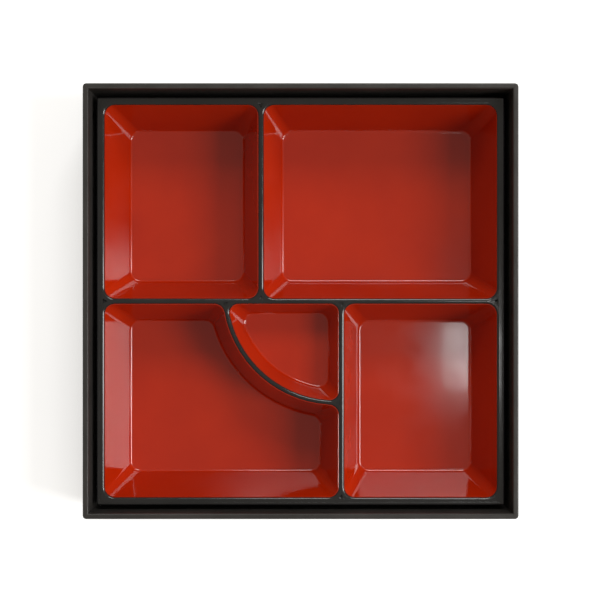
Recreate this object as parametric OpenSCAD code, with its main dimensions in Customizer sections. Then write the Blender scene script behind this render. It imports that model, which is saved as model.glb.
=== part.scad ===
// One tier of a square stacking lunch box, with its lift-out tray of five compartments.
// The origin is the middle of the base. X runs left to right, Y front to back and Z up.

/* [Box] */
// Outer width of the box, left to right
box_w = 270; // [230:1:330]
// Outer depth of the box, front to back
box_d = 270; // [230:1:330]
// Height of the box from the bottom of its foot to its rim
box_h = 56; // [46:1:80]
// Thickness of the box's walls
wall_t = 3.6; // [2.6:0.1:5]
// Thickness of the box's floor
floor_t = 2.5; // [1.5:0.1:4]
// Radius of the upright outer corners
box_corner_r = 3; // [1.5:0.5:8]
// Rounding along both edges of the rim
rim_round = 1.1; // [0.3:0.1:1.2]
// Rounding along the outer bottom edge of the walls
base_round = 1.5; // [0.5:0.1:3]

/* [Stacking foot] */
// Height of the foot, which nests in the mouth of a box below
foot_h = 2.5; // [1:0.1:6]
// Width of the foot's ring
foot_w = 5; // [2:0.5:12]
// Clearance between the foot and the mouth of a box below, each side
stack_gap = 0.5; // [0.2:0.1:1.5]

/* [Tray] */
// Clearance between the tray and the box's walls, each side
tray_gap = 2.9; // [0.6:0.1:4]
// How far the tray's top lies below the box's rim
rim_drop = 12; // [4:0.5:20]
// Radius of the tray's upright outer corners
tray_corner_r = 3.5; // [2:0.5:6]
// Rounding along the tray's outer top edge
tray_round = 1.2; // [0.5:0.1:1.6]
// Width of the rim round the compartments
rim_w = 5; // [4.6:0.1:8]
// Thickness of the frame from which the compartments hang
frame_t = 5; // [3:0.5:8]
// Height of the skirt that turns down at the tray's edge, from the tray's top
skirt_h = 9; // [8.5:0.5:16]
// Thickness of the skirt
skirt_t = 2; // [1.2:0.1:3]
// Thickness of the compartments' walls and floors
tray_t = 1.8; // [1.2:0.1:2.6]
// Depth of the shallow channel along the rim, between its two beads
channel_depth = 0.35; // [0.1:0.05:0.8]
// Width of that channel
channel_w = 1.2; // [0.6:0.1:1.4]

/* [Dividers] */
// Width of the straight dividers where the red begins
divider_w = 3.5; // [3.2:0.1:6]
// Place of the divider between the two back compartments, from the middle
back_divider_x = -25; // [-40:0.5:10]
// Place of the divider between the front compartments, from the middle
front_divider_x = 25.7; // [10:0.5:40]
// Place of the long divider from left to right, from the middle
cross_divider_y = 0; // [-12:0.5:12]
// Width of the arched divider
arc_w = 3; // [3:0.1:5]
// Radius of the arched divider's middle line
arc_r = 69.5; // [60:0.5:76]
// How far the arch's centre lies left of the front divider
arc_left = 3.9; // [0:0.1:8]
// How far the arch's centre lies behind the long divider
arc_behind = 5.6; // [0:0.1:10]
// Radius of the bead along the edges of the compartments
lip_r = 1.4; // [0.8:0.1:1.4]
// Depth of the small three-sided pits where the dividers meet
pit_depth = 0.8; // [0.3:0.1:1.5]
// Size of those pits, from their middle to their points
pit_r = 1.9; // [1:0.1:2.2]

/* [Compartments] */
// Slope of the compartments' walls from upright, in degrees
wall_draft = 16.5; // [6:0.5:20]
// Radius of the upright corners at the top
pocket_corner_r = 6.5; // [5:0.5:9]
// Radius of the corners where they meet the floor
floor_corner_r = 4.8; // [3.5:0.1:7]
// Rounding between wall and floor
floor_fillet = 2.5; // [1.5:0.1:4]
// Depth of the quarter-round compartment
quarter_depth = 20; // [12:0.5:22]
// Radius of its upright corners at the top
quarter_corner_r = 5.7; // [4:0.1:8]
// Thickness of the red lacquer on the compartments
coat_t = 0.4; // [0.2:0.05:0.8]

/* [Hidden] */
$fn = 48;
corner_steps = 6;
arc_steps = 14;
lip_steps = 3;
fillet_steps = 4;
over = 1;

mouth_w = box_w - 2 * wall_t;
mouth_d = box_d - 2 * wall_t;
box_floor_z = foot_h + floor_t;
foot_ring_w = mouth_w - 2 * stack_gap;
foot_ring_d = mouth_d - 2 * stack_gap;
foot_corner_r = 2;

tray_w = mouth_w - 2 * tray_gap;
tray_d = mouth_d - 2 * tray_gap;
tray_top_z = box_h - rim_drop;
pocket_depth = tray_top_z - box_floor_z - tray_t;
channel_in = (rim_w + tray_round - lip_r - channel_w) / 2;

half_divider = divider_w / 2;
pocket_left = -tray_w / 2 + rim_w;
pocket_right = tray_w / 2 - rim_w;
pocket_front = -tray_d / 2 + rim_w;
pocket_back = tray_d / 2 - rim_w;
arc_centre = [front_divider_x - arc_left, cross_divider_y + arc_behind];
front_edge = cross_divider_y - half_divider;
back_edge = cross_divider_y + half_divider;
quarter_right = front_divider_x - half_divider;

// Where the bead round a compartment turns into its sloping wall: inward and down from the top edge
lip_in = lip_r * (cos(wall_draft) - 1);
lip_down = lip_r * (1 - sin(wall_draft));

// A compartment is its outline's kind, its left, right, front and back edges where the bead ends,
// its depth and the radius of its corners at the top
top_left = ["straight", pocket_left, back_divider_x - half_divider, back_edge, pocket_back,
    pocket_depth, pocket_corner_r];
top_right = ["straight", back_divider_x + half_divider, pocket_right, back_edge, pocket_back,
    pocket_depth, pocket_corner_r];
bottom_right = ["straight", front_divider_x + half_divider, pocket_right, pocket_front, front_edge,
    pocket_depth, pocket_corner_r];
bottom_left = ["notched", pocket_left, quarter_right, pocket_front, front_edge,
    pocket_depth, pocket_corner_r];
quarter_round = ["quarter", pocket_left, quarter_right, pocket_front, front_edge,
    quarter_depth, quarter_corner_r];
pockets = [top_left, top_right, bottom_left, bottom_right, quarter_round];

// Where the arched divider ends, and the way it runs from there
arc_back_end = [arc_centre.x - sqrt(pow(arc_r, 2) - pow(arc_centre.y - front_edge, 2)), front_edge];
arc_right_end = [quarter_right, arc_centre.y - sqrt(pow(arc_r, 2) - pow(quarter_right - arc_centre.x, 2))];
function way_round_arc(p) = atan2(p.y - arc_centre.y, p.x - arc_centre.x) + 90;

// Each pit is a point on the edges of two neighbouring compartments and the way the divider leaves it
pits = [
    [[back_divider_x, back_edge], 90],
    [[back_divider_x, pocket_back], 270],
    [[front_divider_x, front_edge], 270],
    [[front_divider_x, pocket_front], 90],
    [[pocket_left, cross_divider_y], 0],
    [[pocket_right, cross_divider_y], 180],
    [arc_back_end, way_round_arc(arc_back_end)],
    [arc_right_end, way_round_arc(arc_right_end) + 180]
];

// Points along an arc about a centre, from one angle to another
function arc_points(centre, r, from, to, steps) =
    [for (i = [0 : steps]) let (a = from + (to - from) * i / steps) centre + r * [cos(a), sin(a)]];

// A list without its first and last point
function inner_points(list) = [for (i = [1 : len(list) - 2]) list[i]];

// A corner's centre where a wall at x or at y meets the arched divider, at a given distance from its centre
function corner_at_x(x, away) = [x, arc_centre.y - sqrt(pow(away, 2) - pow(x - arc_centre.x, 2))];
function corner_at_y(y, away) = [arc_centre.x - sqrt(pow(away, 2) - pow(y - arc_centre.y, 2)), y];
function angle_from_arc(p) = atan2(p.y - arc_centre.y, p.x - arc_centre.x) + 360;

// The three kinds of outline, drawn inward by s with corners of radius r, all counter-clockwise
function straight_outline(p, s, r) =
    let (x0 = p[1] + s + r, x1 = p[2] - s - r, y0 = p[3] + s + r, y1 = p[4] - s - r)
    concat(
        arc_points([x0, y0], r, 180, 270, corner_steps),
        arc_points([x1, y0], r, 270, 360, corner_steps),
        arc_points([x1, y1], r, 0, 90, corner_steps),
        arc_points([x0, y1], r, 90, 180, corner_steps)
    );

function notched_outline(p, s, r) =
    let (
        x0 = p[1] + s + r, x1 = p[2] - s - r, y0 = p[3] + s + r, y1 = p[4] - s - r,
        wall_r = arc_r + arc_w / 2 + s,
        right = corner_at_x(x1, wall_r + r),
        back = corner_at_y(y1, wall_r + r),
        right_angle = angle_from_arc(right) % 360,
        back_angle = angle_from_arc(back) % 360
    )
    concat(
        arc_points([x0, y0], r, 180, 270, corner_steps),
        arc_points([x1, y0], r, 270, 360, corner_steps),
        arc_points(right, r, 0, right_angle - 180, corner_steps),
        inner_points(arc_points(arc_centre, wall_r, right_angle, back_angle, arc_steps)),
        arc_points(back, r, back_angle - 180, 90, corner_steps),
        arc_points([x0, y1], r, 90, 180, corner_steps)
    );

function quarter_outline(p, s, r) =
    let (
        x1 = p[2] - s - r, y1 = p[4] - s - r,
        wall_r = arc_r - arc_w / 2 - s,
        right = corner_at_x(x1, wall_r - r),
        back = corner_at_y(y1, wall_r - r),
        right_angle = angle_from_arc(right) % 360,
        back_angle = angle_from_arc(back) % 360
    )
    concat(
        arc_points([x1, y1], r, 0, 90, corner_steps),
        arc_points(back, r, 90, back_angle, corner_steps),
        inner_points(arc_points(arc_centre, wall_r, back_angle, right_angle, arc_steps)),
        arc_points(right, r, right_angle, 360, corner_steps)
    );

function outline(p, s, r) =
    p[0] == "straight" ? straight_outline(p, s, r)
    : p[0] == "notched" ? notched_outline(p, s, r)
    : quarter_outline(p, s, r);

// The section of a compartment's skin, moved outward by grow, as steps of height below the top, inset
// and corner radius, from the edge of its floor up to its bead
function skin_section(p, grow) =
    let (
        depth = p[5],
        centre_down = depth - floor_fillet,
        centre_in = lip_in + (centre_down - lip_down) * tan(wall_draft) + floor_fillet / cos(wall_draft),
        r = floor_fillet + grow
    )
    concat(
        [for (i = [0 : fillet_steps])
            let (a = 90 + (wall_draft - 90) * i / fillet_steps)
            [centre_down + r * sin(a), centre_in - r * cos(a), floor_corner_r + r * cos(a)]],
        [[lip_down + grow * sin(wall_draft), lip_in - grow * cos(wall_draft), p[6] + grow * cos(wall_draft)]]
    );

// The bead's section, from the sloping wall up to the flat top and on above it
function lip_section(p) =
    concat(
        [for (i = [1 : lip_steps])
            let (a = (90 - wall_draft) * (1 - i / lip_steps), s = lip_r * (sin(a) - 1))
            [lip_r * (1 - cos(a)), s, p[6] + lip_in - s]],
        [[-over, -lip_r, p[6] + lip_in + lip_r]]
    );

// Rings of points round a compartment, one for each step of a section
function rings(p, section) =
    [for (step = section) [for (q = outline(p, step[1], step[2])) [q.x, q.y, tray_top_z - step[0]]]];

function reversed(list) = [for (i = [len(list) - 1 : -1 : 0]) list[i]];

// A solid through a stack of rings, closed with a fan over the first and the last
module loft(stack) {
    n = len(stack[0]);
    top = (len(stack) - 1) * n;
    sides = [for (k = [0 : len(stack) - 2], i = [0 : n - 1])
        let (a = k * n + i, b = k * n + (i + 1) % n)
        each [[a, b + n, b], [a, a + n, b + n]]];
    bottom_fan = [for (i = [1 : n - 2]) [0, i, i + 1]];
    top_fan = [for (i = [1 : n - 2]) [top, top + i + 1, top + i]];
    polyhedron([for (ring = stack) each ring], concat(sides, bottom_fan, top_fan), convexity = 4);
}

module pocket_cut(p) {
    loft(rings(p, concat(skin_section(p, 0), lip_section(p))));
}

// The outside of a compartment's thin wall, as seen from under the tray
module pocket_shell(p) {
    loft(rings(p, skin_section(p, tray_t)));
}

module lacquer_coat(p) {
    color("#a8230f")
    loft(rings(p, concat(skin_section(p, 0), reversed(skin_section(p, -coat_t)))));
}

module rounded_square(w, d, r) {
    square([w - 2 * r, d], center = true);
    square([w, d - 2 * r], center = true);
    for (x = [-1, 1], y = [-1, 1])
        translate([x * (w / 2 - r), y * (d / 2 - r)]) circle(r);
}

// A bar's end view with its two top edges rounded by r and its two bottom edges by s
module rounded_end(w, h, r, s) {
    translate([-w / 2, s]) square([w, h - r - s]);
    translate([r - w / 2, h / 2]) square([w - 2 * r, h / 2]);
    translate([s - w / 2, 0]) square([w - 2 * s, h / 2]);
    for (x = [-1, 1]) {
        translate([x * (w / 2 - r), h - r]) circle(r);
        if (s > 0) translate([x * (w / 2 - s), s]) circle(s);
    }
}

// A mouth's end view, flared at the top so that what is left of the wall has a round edge
module flared_end(w, h, r) {
    difference() {
        union() {
            translate([-w / 2, 0]) square([w, h + over]);
            translate([-w / 2 - r, h - r]) square([w + 2 * r, r + over]);
        }
        for (x = [-1, 1]) translate([x * (w / 2 + r), h - r]) circle(r);
    }
}

// Two crossing bars, of which intersection() keeps what they share: edges meet in a mitre
module along_x(length) {
    rotate([90, 0, 90]) linear_extrude(length, center = true) children();
}

module along_y(length) {
    rotate([90, 0, 0]) linear_extrude(length, center = true) children();
}

module rounded_block(w, d, h, corner_r, top_r, bottom_r) {
    intersection() {
        linear_extrude(h) rounded_square(w, d, corner_r);
        along_x(w + 2 * over) rounded_end(d, h, top_r, bottom_r);
        along_y(d + 2 * over) rounded_end(w, h, top_r, bottom_r);
    }
}

module ring(w, d, h, corner_r, ring_w) {
    difference() {
        linear_extrude(h) rounded_square(w, d, corner_r);
        translate([ring_w - w / 2, ring_w - d / 2, -over]) cube([w - 2 * ring_w, d - 2 * ring_w, h + 2 * over]);
    }
}

module box_mouth() {
    intersection() {
        along_x(box_w + 2 * over) flared_end(mouth_d, box_h - box_floor_z, rim_round);
        along_y(box_d + 2 * over) flared_end(mouth_w, box_h - box_floor_z, rim_round);
    }
}

module outer_box() {
    color("#2d2a27")
    difference() {
        union() {
            translate([0, 0, foot_h])
                rounded_block(box_w, box_d, box_h - foot_h, box_corner_r, rim_round, base_round);
            ring(foot_ring_w, foot_ring_d, foot_h + floor_t / 2, foot_corner_r, foot_w);
        }
        translate([0, 0, box_floor_z]) box_mouth();
    }
}

module tray_frame() {
    translate([0, 0, tray_top_z - frame_t])
        rounded_block(tray_w, tray_d, frame_t, tray_corner_r, tray_round, 0);
    translate([0, 0, tray_top_z - skirt_h])
        ring(tray_w, tray_d, skirt_h - tray_round - over, tray_corner_r, skirt_t);
}

module rim_channel() {
    translate([0, 0, tray_top_z - channel_depth])
        ring(tray_w - 2 * channel_in, tray_d - 2 * channel_in, channel_depth + over,
            tray_corner_r - channel_in / 2, channel_w);
}

module junction_pits() {
    for (pit = pits)
        translate([pit[0].x, pit[0].y, tray_top_z - pit_depth])
            rotate(pit[1]) cylinder(h = pit_depth + over, r = pit_r, $fn = 3);
}

module insert_tray() {
    color("#1b1b1b")
    difference() {
        union() {
            tray_frame();
            for (p = pockets) pocket_shell(p);
        }
        for (p = pockets) pocket_cut(p);
        rim_channel();
        junction_pits();
    }
}

module lacquer_top_left() { lacquer_coat(top_left); }
module lacquer_top_right() { lacquer_coat(top_right); }
module lacquer_bottom_left() { lacquer_coat(bottom_left); }
module lacquer_bottom_right() { lacquer_coat(bottom_right); }
module lacquer_quarter_round() { lacquer_coat(quarter_round); }

outer_box();
insert_tray();
lacquer_top_left();
lacquer_top_right();
lacquer_bottom_left();
lacquer_bottom_right();
lacquer_quarter_round();
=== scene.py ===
from math import atan, pi, radians

import bpy
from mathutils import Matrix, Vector


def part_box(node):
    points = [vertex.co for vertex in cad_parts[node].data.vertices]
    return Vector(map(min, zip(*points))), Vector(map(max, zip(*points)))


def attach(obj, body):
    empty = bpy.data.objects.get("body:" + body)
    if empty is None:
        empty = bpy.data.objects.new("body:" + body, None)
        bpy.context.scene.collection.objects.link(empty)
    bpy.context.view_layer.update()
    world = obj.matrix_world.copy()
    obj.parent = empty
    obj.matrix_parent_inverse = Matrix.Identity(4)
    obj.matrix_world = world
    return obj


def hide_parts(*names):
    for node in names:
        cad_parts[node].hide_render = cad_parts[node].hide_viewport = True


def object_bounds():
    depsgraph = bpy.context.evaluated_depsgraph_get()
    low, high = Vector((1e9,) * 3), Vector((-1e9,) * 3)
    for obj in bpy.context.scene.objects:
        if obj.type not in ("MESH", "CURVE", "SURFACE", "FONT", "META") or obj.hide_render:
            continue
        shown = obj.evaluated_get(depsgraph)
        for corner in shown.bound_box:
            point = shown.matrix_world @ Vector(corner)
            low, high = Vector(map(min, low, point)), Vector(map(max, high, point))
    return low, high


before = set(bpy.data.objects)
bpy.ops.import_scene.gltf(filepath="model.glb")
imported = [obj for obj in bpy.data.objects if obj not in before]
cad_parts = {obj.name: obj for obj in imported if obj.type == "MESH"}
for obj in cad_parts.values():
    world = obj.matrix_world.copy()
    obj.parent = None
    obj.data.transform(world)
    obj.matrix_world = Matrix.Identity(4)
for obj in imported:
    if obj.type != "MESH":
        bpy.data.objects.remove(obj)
cad_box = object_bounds()

MM = 0.001

# Which body carries each piece, and the finish that it takes
PIECES = {
    "outer_box": ("box", "satin_black"),
    "insert_tray": ("tray", "gloss_black"),
    "lacquer_top_left": ("tray", "red_lacquer"),
    "lacquer_top_right": ("tray", "red_lacquer"),
    "lacquer_bottom_left": ("tray", "red_lacquer"),
    "lacquer_bottom_right": ("tray", "red_lacquer"),
    "lacquer_quarter_round": ("tray", "red_lacquer"),
}

# Corners of a solid's triangles that lie closer than this are one point
WELD_DISTANCE = 0.004 * MM
# Triangles that lean less than this to each other are one flat face
FLAT_ANGLE = radians(0.2)
# Faces that meet at less than this angle are shaded as one smooth surface
SMOOTH_ANGLE = radians(28)
# How far a large flat face outweighs the small faces of its rounded edges
FLAT_FACE_WEIGHT = 100

# Moulding marks on the floors: place across and along, from the middle of the box
MARKS = {
    "lacquer_top_right": (103 * MM, 101 * MM),
    "lacquer_bottom_right": (76.4 * MM, -24.6 * MM),
    "lacquer_quarter_round": (0 * MM, -26 * MM),
    "lacquer_bottom_left": (-101.5 * MM, -98 * MM),
}
MARK_RADIUS = 2.7 * MM
MARK_SIDES = 40
MARK_HEIGHT = 0.12 * MM
# How far a mark's underside lies in the coat
MARK_SINK = 0.08 * MM
# Width of a mark's outer ring, and of the groove between the ring and the pip
MARK_RING = 0.45 * MM
MARK_GROOVE = 1.3 * MM
# Thickness of the red coat on a compartment's floor
FLOOR_COAT = 0.4 * MM
# A face counts as a top face when its normal rises more than this
TOP_FACE = 0.9

# The camera looks straight down, from just beside the middle of the box
CAMERA_HEIGHT = 746 * MM
CAMERA_ACROSS = -0.4 * MM
CAMERA_ALONG = 0.7 * MM
VIEW_WIDTH_AT_RIM = 371 * MM

# The part of a noise pattern's range that a finish runs over
PATTERN_LOW = 0.3
PATTERN_HIGH = 0.7

TABLE_WIDTH = 6
# How much of its own white the table adds to its shading, seen directly, in gloss or in glass
TABLE_WHITE = 0.5

ROOM_COLOR = (1.0, 0.93, 0.82)
ROOM_LEVEL = 0.33
# Each lamp's place, its width and height, its brightness and the point that it faces
BOX_MIDDLE = (0, 0, 0)
LAMPS = {
    "softbox_right": ((2.0, -0.3, 2.0), (0.9, 1.0), 14.0, BOX_MIDDLE),
    "softbox_low": ((2.4, -0.1, 0.9), (0.5, 1.0), 9.0, BOX_MIDDLE),
    "softbox_back": ((0.4, 2.1, 1.9), (1.2, 0.8), 10.0, BOX_MIDDLE),
    "strip_above": ((0.44, -0.145, 2.2), (0.13, 0.172), 9.0, (0.44, -0.145, 0)),
}


def select_only(piece):
    """Makes one piece the selected and active one."""
    bpy.ops.object.select_all(action="DESELECT")
    piece.select_set(True)
    bpy.context.view_layer.objects.active = piece


def welded_copy(node):
    """A copy of a solid's mesh, its loose triangles welded and its curves shaded smooth."""
    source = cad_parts[node]
    piece = bpy.data.objects.new(node + "_moulding", source.data.copy())
    bpy.context.scene.collection.objects.link(piece)
    piece.data.materials.clear()
    select_only(piece)
    bpy.ops.object.mode_set(mode="EDIT")
    bpy.ops.mesh.select_all(action="SELECT")
    bpy.ops.mesh.remove_doubles(threshold=WELD_DISTANCE)
    bpy.ops.mesh.dissolve_limited(angle_limit=FLAT_ANGLE)
    bpy.ops.object.mode_set(mode="OBJECT")
    bpy.ops.object.shade_smooth_by_angle(angle=SMOOTH_ANGLE)
    weighted = piece.modifiers.new("flat_faces_stay_flat", "WEIGHTED_NORMAL")
    weighted.keep_sharp = True
    weighted.weight = FLAT_FACE_WEIGHT
    bpy.ops.object.modifier_apply(modifier=weighted.name)
    return piece


def raise_selected(height):
    """Extrudes the selected faces straight up, or down where the height is negative."""
    bpy.ops.mesh.extrude_region_move(TRANSFORM_OT_translate={"value": (0, 0, height)})


def add_mark(coat, node, across, along):
    """Joins a round moulding mark to a coat: a low ring, a shallow groove and a pip in it."""
    floor_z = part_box(node)[0].z + FLOOR_COAT
    bpy.ops.object.select_all(action="DESELECT")
    bpy.ops.mesh.primitive_cylinder_add(
        vertices=MARK_SIDES,
        radius=MARK_RADIUS,
        depth=MARK_HEIGHT + MARK_SINK,
        location=(across, along, floor_z + (MARK_HEIGHT - MARK_SINK) / 2),
    )
    mark = bpy.context.object
    bpy.ops.object.mode_set(mode="EDIT")
    bpy.ops.mesh.select_all(action="DESELECT")
    bpy.ops.object.mode_set(mode="OBJECT")
    for face in mark.data.polygons:
        face.select = face.normal.z > TOP_FACE
    bpy.ops.object.mode_set(mode="EDIT")
    bpy.ops.mesh.inset(thickness=MARK_RING)
    raise_selected(-MARK_HEIGHT / 2)
    bpy.ops.mesh.inset(thickness=MARK_GROOVE)
    raise_selected(MARK_HEIGHT / 2)
    bpy.ops.object.mode_set(mode="OBJECT")
    bpy.ops.object.transform_apply(location=True, rotation=True, scale=True)
    mark.data.materials.clear()
    select_only(coat)
    mark.select_set(True)
    bpy.ops.object.join()


def new_material(name, color, roughness):
    """A material with an even colour and roughness, its node tree and its shader."""
    material = bpy.data.materials.new(name)
    material.use_nodes = True
    shader = material.node_tree.nodes["Principled BSDF"]
    shader.inputs["Base Color"].default_value = (*color, 1)
    shader.inputs["Roughness"].default_value = roughness
    return material, material.node_tree, shader


def noise(tree, scale, detail):
    """A noise pattern fixed to the piece, with this many waves to a metre."""
    place = tree.nodes.new("ShaderNodeTexCoord")
    texture = tree.nodes.new("ShaderNodeTexNoise")
    texture.inputs["Scale"].default_value = scale
    texture.inputs["Detail"].default_value = detail
    tree.links.new(place.outputs["Object"], texture.inputs["Vector"])
    return texture.outputs["Fac"]


def vary_color(tree, shader, pattern, low, high):
    """Lets the colour drift between two close colours."""
    ramp = tree.nodes.new("ShaderNodeValToRGB")
    ramp.color_ramp.elements[0].position = PATTERN_LOW
    ramp.color_ramp.elements[0].color = (*low, 1)
    ramp.color_ramp.elements[1].position = PATTERN_HIGH
    ramp.color_ramp.elements[1].color = (*high, 1)
    tree.links.new(pattern, ramp.inputs["Fac"])
    tree.links.new(ramp.outputs["Color"], shader.inputs["Base Color"])


def vary_roughness(tree, shader, pattern, low, high):
    """Lets the gloss drift between two roughnesses."""
    span = tree.nodes.new("ShaderNodeMapRange")
    span.inputs["From Min"].default_value = PATTERN_LOW
    span.inputs["From Max"].default_value = PATTERN_HIGH
    span.inputs["To Min"].default_value = low
    span.inputs["To Max"].default_value = high
    tree.links.new(pattern, span.inputs["Value"])
    tree.links.new(span.outputs["Result"], shader.inputs["Roughness"])


def add_bump(tree, shader, pattern, strength, depth):
    """Makes the surface rise and fall a little with a pattern."""
    bump = tree.nodes.new("ShaderNodeBump")
    bump.inputs["Strength"].default_value = strength
    bump.inputs["Distance"].default_value = depth
    tree.links.new(pattern, bump.inputs["Height"])
    tree.links.new(bump.outputs["Normal"], shader.inputs["Normal"])


def red_lacquer():
    """Sprayed vermilion lacquer: a clear hard gloss with a faint orange peel."""
    material, tree, shader = new_material("red_lacquer", (0.40, 0.018, 0.001), 0.1)
    shader.inputs["Coat Weight"].default_value = 0.2
    shader.inputs["Coat Roughness"].default_value = 0.04
    vary_color(tree, shader, noise(tree, 22, 3), (0.40, 0.016, 0.001), (0.45, 0.020, 0.001))
    vary_roughness(tree, shader, noise(tree, 60, 4), 0.08, 0.16)
    add_bump(tree, shader, noise(tree, 420, 2), 0.25, 0.01 * MM)
    return material


def gloss_black():
    """The tray's moulded plastic, glossy, with fine rub marks in its gloss."""
    material, tree, shader = new_material("gloss_black", (0.012, 0.012, 0.012), 0.16)
    shader.inputs["Coat Weight"].default_value = 0.3
    shader.inputs["Coat Roughness"].default_value = 0.06
    vary_color(tree, shader, noise(tree, 30, 3), (0.009, 0.009, 0.009), (0.015, 0.014, 0.014))
    vary_roughness(tree, shader, noise(tree, 140, 5), 0.12, 0.24)
    add_bump(tree, shader, noise(tree, 500, 2), 0.2, 0.01 * MM)
    return material


def satin_black():
    """The box's satin black, a little brown, with a fine even grain."""
    material, tree, shader = new_material("satin_black", (0.03, 0.028, 0.026), 0.42)
    vary_color(tree, shader, noise(tree, 40, 5), (0.024, 0.022, 0.020), (0.036, 0.032, 0.029))
    vary_roughness(tree, shader, noise(tree, 200, 5), 0.34, 0.5)
    add_bump(tree, shader, noise(tree, 2600, 2), 0.4, 0.02 * MM)
    return material


def make_pieces():
    """Builds every piece of the box and its tray, in its finish and on its body."""
    finishes = {
        "red_lacquer": red_lacquer(),
        "gloss_black": gloss_black(),
        "satin_black": satin_black(),
    }
    for node, (body, finish) in PIECES.items():
        piece = welded_copy(node)
        if node in MARKS:
            add_mark(piece, node, *MARKS[node])
        piece.data.materials.clear()
        piece.data.materials.append(finishes[finish])
        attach(piece, body)
        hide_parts(node)


def white_table():
    """A matt white that is near full white where it is seen, and keeps its shadows."""
    material, tree, shader = new_material("white_table", (0.9, 0.9, 0.9), 0.7)
    rays = tree.nodes.new("ShaderNodeLightPath")
    mirrored = tree.nodes.new("ShaderNodeMath")
    mirrored.operation = "MAXIMUM"
    tree.links.new(rays.outputs["Is Glossy Ray"], mirrored.inputs[0])
    tree.links.new(rays.outputs["Is Transmission Ray"], mirrored.inputs[1])
    seen = tree.nodes.new("ShaderNodeMath")
    seen.operation = "MAXIMUM"
    tree.links.new(rays.outputs["Is Camera Ray"], seen.inputs[0])
    tree.links.new(mirrored.outputs[0], seen.inputs[1])
    added = tree.nodes.new("ShaderNodeMath")
    added.operation = "MULTIPLY"
    added.inputs[1].default_value = TABLE_WHITE
    tree.links.new(seen.outputs[0], added.inputs[0])
    shader.inputs["Emission Color"].default_value = (1, 1, 1, 1)
    tree.links.new(added.outputs[0], shader.inputs["Emission Strength"])
    return material


def make_table():
    """A plain white table top under the box."""
    bpy.ops.object.select_all(action="DESELECT")
    bpy.ops.mesh.primitive_plane_add(size=TABLE_WIDTH, location=(0, 0, cad_box[0].z))
    table = bpy.context.object
    table.name = "table_top"
    table.data.materials.append(white_table())


def add_lamp(name, place, size, brightness, faces):
    """A rectangular lamp of an even brightness over its whole face."""
    data = bpy.data.lights.new(name, "AREA")
    data.shape = "RECTANGLE"
    data.size, data.size_y = size
    data.energy = brightness * pi * size[0] * size[1]
    lamp = bpy.data.objects.new(name, data)
    lamp.location = place
    bpy.context.scene.collection.objects.link(lamp)
    aim = Vector(faces) - lamp.location
    lamp.rotation_euler = aim.to_track_quat("-Z", "Y").to_euler()


def light_the_room():
    """A pale room all round, and the softboxes whose light falls on the box."""
    room = bpy.data.worlds.new("pale_room")
    room.use_nodes = True
    background = room.node_tree.nodes["Background"]
    background.inputs["Color"].default_value = (*ROOM_COLOR, 1)
    background.inputs["Strength"].default_value = ROOM_LEVEL
    bpy.context.scene.world = room
    for name, lamp in LAMPS.items():
        add_lamp(name, *lamp)


def set_camera():
    """A camera that looks straight down and takes in a known width at the rim."""
    data = bpy.data.cameras.new("camera")
    data.sensor_fit = "HORIZONTAL"
    distance = CAMERA_HEIGHT - cad_box[1].z
    data.angle = 2 * atan(VIEW_WIDTH_AT_RIM / 2 / distance)
    camera = bpy.data.objects.new("camera", data)
    camera.location = (CAMERA_ACROSS, CAMERA_ALONG, CAMERA_HEIGHT)
    bpy.context.scene.collection.objects.link(camera)
    bpy.context.scene.camera = camera


set_camera()
make_pieces()
make_table()
light_the_room()
bpy.context.scene.view_settings.view_transform = "Standard"
